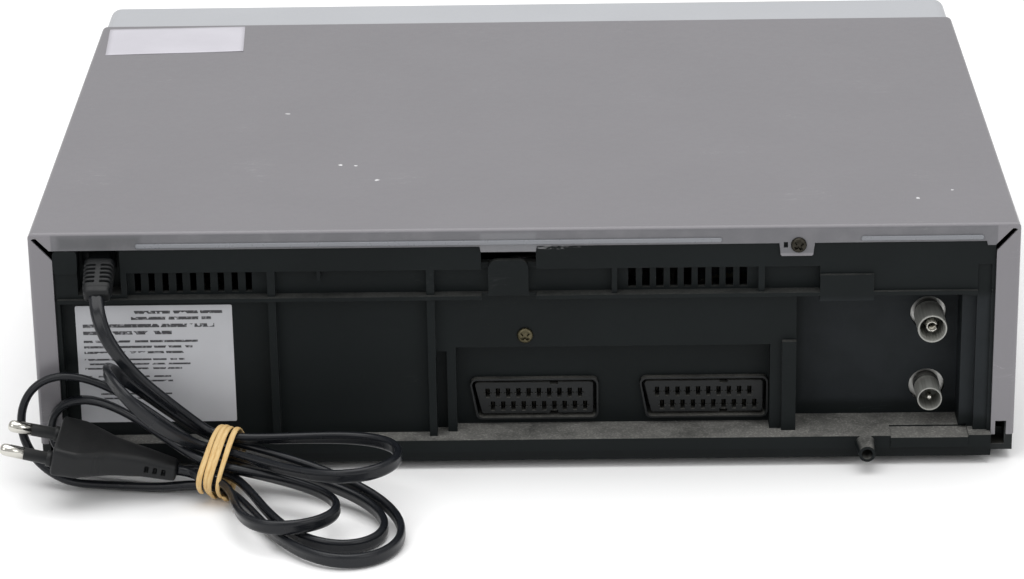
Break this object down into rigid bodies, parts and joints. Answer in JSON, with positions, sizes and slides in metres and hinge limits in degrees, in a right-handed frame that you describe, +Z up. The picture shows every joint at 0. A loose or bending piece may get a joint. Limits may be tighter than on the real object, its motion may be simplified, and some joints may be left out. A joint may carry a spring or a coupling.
{
  "type": "video cassette recorder",
  "caption": "Home video cassette recorder with a grey steel cover, black rear panel with sockets, tape deck, sprung cassette door and a mains lead folded into a banded hank.",
  "frame": {"origin": "under the middle of the casing with its rear peg, on the surface that the feet stand on; the mains lead isn't counted", "axes": "+X along the width, towards the end of the rear panel where the mains lead leaves; +Y towards the rear panel; +Z up"},
  "size_m": [0.3736, 0.3575, 0.094],
  "materials": {
    "cover_paint": "satin grey paint with a fine texture, small chips and scuffs",
    "black_steel": "blackened screw",
    "black_plastic": "fine grained moulding, dusty on the ledges",
    "foot_rubber": "moulded rubber",
    "silver_plastic": "satin silver lacquer",
    "smoked_window": "smoked clear plastic",
    "display_glass": "sealed display tube",
    "circuit_board": "solder masked board",
    "power_circuit_board": "paper board",
    "dark_plastic": "fine grained moulding",
    "plated_steel": "zinc plated sheet",
    "machined_aluminium": "turned",
    "bronze": "dull",
    "belt_rubber": "ground",
    "cream_plastic": "acetal",
    "nickel": "dull nickel plate",
    "laminations": "varnished laminations",
    "capacitor_sleeve": "shrink sleeve",
    "tinned_steel": "tinned sheet",
    "socket_plastic": "moulded block",
    "contact_metal": "plated contacts",
    "cord_rubber": "soft cord jacket",
    "band_rubber": "worn elastic band",
    "key_plastic": "moulded keys",
    "record_key": "moulded key"
  },
  "bodies": {
    "root": {"top_cover": "cover_paint", "cover_screws": "black_steel", "bottom_chassis": "black_plastic", "feet": "foot_rubber", "rear_panel": "black_plastic", "front_panel": "silver_plastic", "display_window": "smoked_window", "display_tube": "display_glass", "front_board": "circuit_board", "deck_plate": "plated_steel", "lower_drum": "machined_aluminium", "capstan_bearing": "bronze", "drive_belt": "belt_rubber", "erase_head": "nickel", "audio_head": "nickel", "loading_motor": "dark_plastic", "carriage_brackets": "plated_steel", "main_board": "circuit_board", "power_board": "power_circuit_board", "transformer": "laminations", "power_capacitors": "capacitor_sleeve", "tuner_can": "tinned_steel", "socket_one": "socket_plastic", "socket_two": "socket_plastic", "socket_contacts": "contact_metal", "aerial_socket": "nickel", "output_socket": "nickel", "aerial_contacts": "contact_metal", "socket_screw": "bronze", "strain_relief": "cord_rubber", "mains_cord_run": "cord_rubber", "mains_cord_hank": "cord_rubber", "rubber_band": "band_rubber", "plug_body": "cord_rubber", "plug_pins": "nickel"},
    "door": {"cassette_door": "dark_plastic"},
    "power_key": {"power_button": "key_plastic"},
    "eject_key": {"eject_button": "key_plastic"},
    "rewind_key": {"rewind_button": "key_plastic"},
    "play_key": {"play_button": "key_plastic"},
    "forward_key": {"forward_button": "key_plastic"},
    "pause_key": {"pause_button": "key_plastic"},
    "record_key": {"record_button": "record_key"},
    "channel_up_key": {"channel_up_button": "key_plastic"},
    "channel_down_key": {"channel_down_button": "key_plastic"},
    "drum": {"upper_drum": "machined_aluminium"},
    "capstan": {"capstan_flywheel": "plated_steel"},
    "clutch": {"clutch_pulley": "dark_plastic"},
    "idler": {"idler_arm": "plated_steel"},
    "idler_wheel": {"idler_gear": "cream_plastic"},
    "supply": {"supply_reel": "dark_plastic"},
    "takeup": {"takeup_reel": "dark_plastic"},
    "supply_shuttle": {"supply_guide": "nickel"},
    "takeup_shuttle": {"takeup_guide": "nickel"},
    "pinch": {"pinch_arm": "plated_steel"},
    "pinch_wheel": {"pinch_roller": "belt_rubber"},
    "tension": {"tension_arm": "plated_steel"},
    "cam": {"cam_gear": "cream_plastic"},
    "carriage": {"carriage_slides": "dark_plastic"},
    "holder": {"cassette_holder": "plated_steel"}
  },
  "joints": [
    {"name": "door_open", "type": "hinge", "parent": "root", "child": "door", "pos_m": [0, -0.137, 0.0846], "axis": [1, 0, 0], "range_deg": [0, 86], "stiffness_Nm_per_rad": 0.004, "springref_deg": -22.92},
    {"name": "power_press", "type": "slide", "parent": "root", "child": "power_key", "axis": [0, 1, 0], "range_m": [0, 0.001], "stiffness_N_per_m": 300},
    {"name": "eject_press", "type": "slide", "parent": "root", "child": "eject_key", "axis": [0, 1, 0], "range_m": [0, 0.001], "stiffness_N_per_m": 300},
    {"name": "rewind_press", "type": "slide", "parent": "root", "child": "rewind_key", "axis": [0, 1, 0], "range_m": [0, 0.001], "stiffness_N_per_m": 300},
    {"name": "play_press", "type": "slide", "parent": "root", "child": "play_key", "axis": [0, 1, 0], "range_m": [0, 0.001], "stiffness_N_per_m": 300},
    {"name": "forward_press", "type": "slide", "parent": "root", "child": "forward_key", "axis": [0, 1, 0], "range_m": [0, 0.001], "stiffness_N_per_m": 300},
    {"name": "pause_press", "type": "slide", "parent": "root", "child": "pause_key", "axis": [0, 1, 0], "range_m": [0, 0.001], "stiffness_N_per_m": 300},
    {"name": "record_press", "type": "slide", "parent": "root", "child": "record_key", "axis": [0, 1, 0], "range_m": [0, 0.001], "stiffness_N_per_m": 300},
    {"name": "channel_up_press", "type": "slide", "parent": "root", "child": "channel_up_key", "axis": [0, 1, 0], "range_m": [0, 0.001], "stiffness_N_per_m": 300},
    {"name": "channel_down_press", "type": "slide", "parent": "root", "child": "channel_down_key", "axis": [0, 1, 0], "range_m": [0, 0.001], "stiffness_N_per_m": 300},
    {"name": "drum_spin", "type": "hinge", "parent": "root", "child": "drum", "pos_m": [0, 0.044, 0.03], "axis": [0, 0.1045, 0.9945], "continuous": true},
    {"name": "capstan_spin", "type": "hinge", "parent": "root", "child": "capstan", "pos_m": [0.064, 0.009, 0.03], "axis": [0, 0, 1], "continuous": true},
    {"name": "clutch_spin", "type": "hinge", "parent": "root", "child": "clutch", "pos_m": [0, -0.03, 0.02], "axis": [0, 0, 1], "continuous": true},
    {"name": "idler_swing", "type": "hinge", "parent": "root", "child": "idler", "pos_m": [0, -0.03, 0.024], "axis": [0, 0, 1], "range_deg": [-14, 14]},
    {"name": "idler_spin", "type": "hinge", "parent": "idler", "child": "idler_wheel", "pos_m": [0, -0.0585, 0.027], "axis": [0, 0, 1], "continuous": true},
    {"name": "supply_spin", "type": "hinge", "parent": "root", "child": "supply", "pos_m": [-0.0461, -0.0585, 0.03], "axis": [0, 0, 1], "continuous": true},
    {"name": "takeup_spin", "type": "hinge", "parent": "root", "child": "takeup", "pos_m": [0.0461, -0.0585, 0.03], "axis": [0, 0, 1], "continuous": true},
    {"name": "cam_turn", "type": "hinge", "parent": "root", "child": "cam", "pos_m": [-0.085, 0.03, 0.026], "axis": [0, 0, 1], "range_deg": [0, 300]},
    {"name": "supply_load", "type": "slide", "parent": "root", "child": "supply_shuttle", "axis": [0, 1, 0], "range_m": [0, 0.04]},
    {"name": "takeup_load", "type": "slide", "parent": "root", "child": "takeup_shuttle", "axis": [0, 1, 0], "range_m": [0, 0.04]},
    {"name": "pinch_swing", "type": "hinge", "parent": "root", "child": "pinch", "pos_m": [0.082, 0.024, 0.026], "axis": [0, 0, 1], "range_deg": [0, 62]},
    {"name": "roller_spin", "type": "hinge", "parent": "pinch", "child": "pinch_wheel", "pos_m": [0.0704, 0.0307, 0.04], "axis": [0, 0, 1], "continuous": true},
    {"name": "tension_swing", "type": "hinge", "parent": "root", "child": "tension", "pos_m": [-0.066, -0.03, 0.026], "axis": [0, 0, 1], "range_deg": [0, 25], "stiffness_Nm_per_rad": 0.01},
    {"name": "carriage_in", "type": "slide", "parent": "root", "child": "carriage", "axis": [0, 1, 0], "range_m": [0, 0.032]},
    {"name": "holder_down", "type": "slide", "parent": "carriage", "child": "holder", "axis": [0, 0, -1], "range_m": [0, 0.025]}
  ],
  "couplings": [
    {"joint": "clutch_spin", "follows": "capstan_spin", "ratio": 0.63077},
    {"joint": "idler_spin", "follows": "capstan_spin", "ratio": -0.42051},
    {"joint": "supply_load", "follows": "cam_turn", "m_per_rad": 0.007639},
    {"joint": "takeup_load", "follows": "cam_turn", "m_per_rad": 0.007639},
    {"joint": "pinch_swing", "follows": "cam_turn", "ratio": 0.2066}
  ]
}
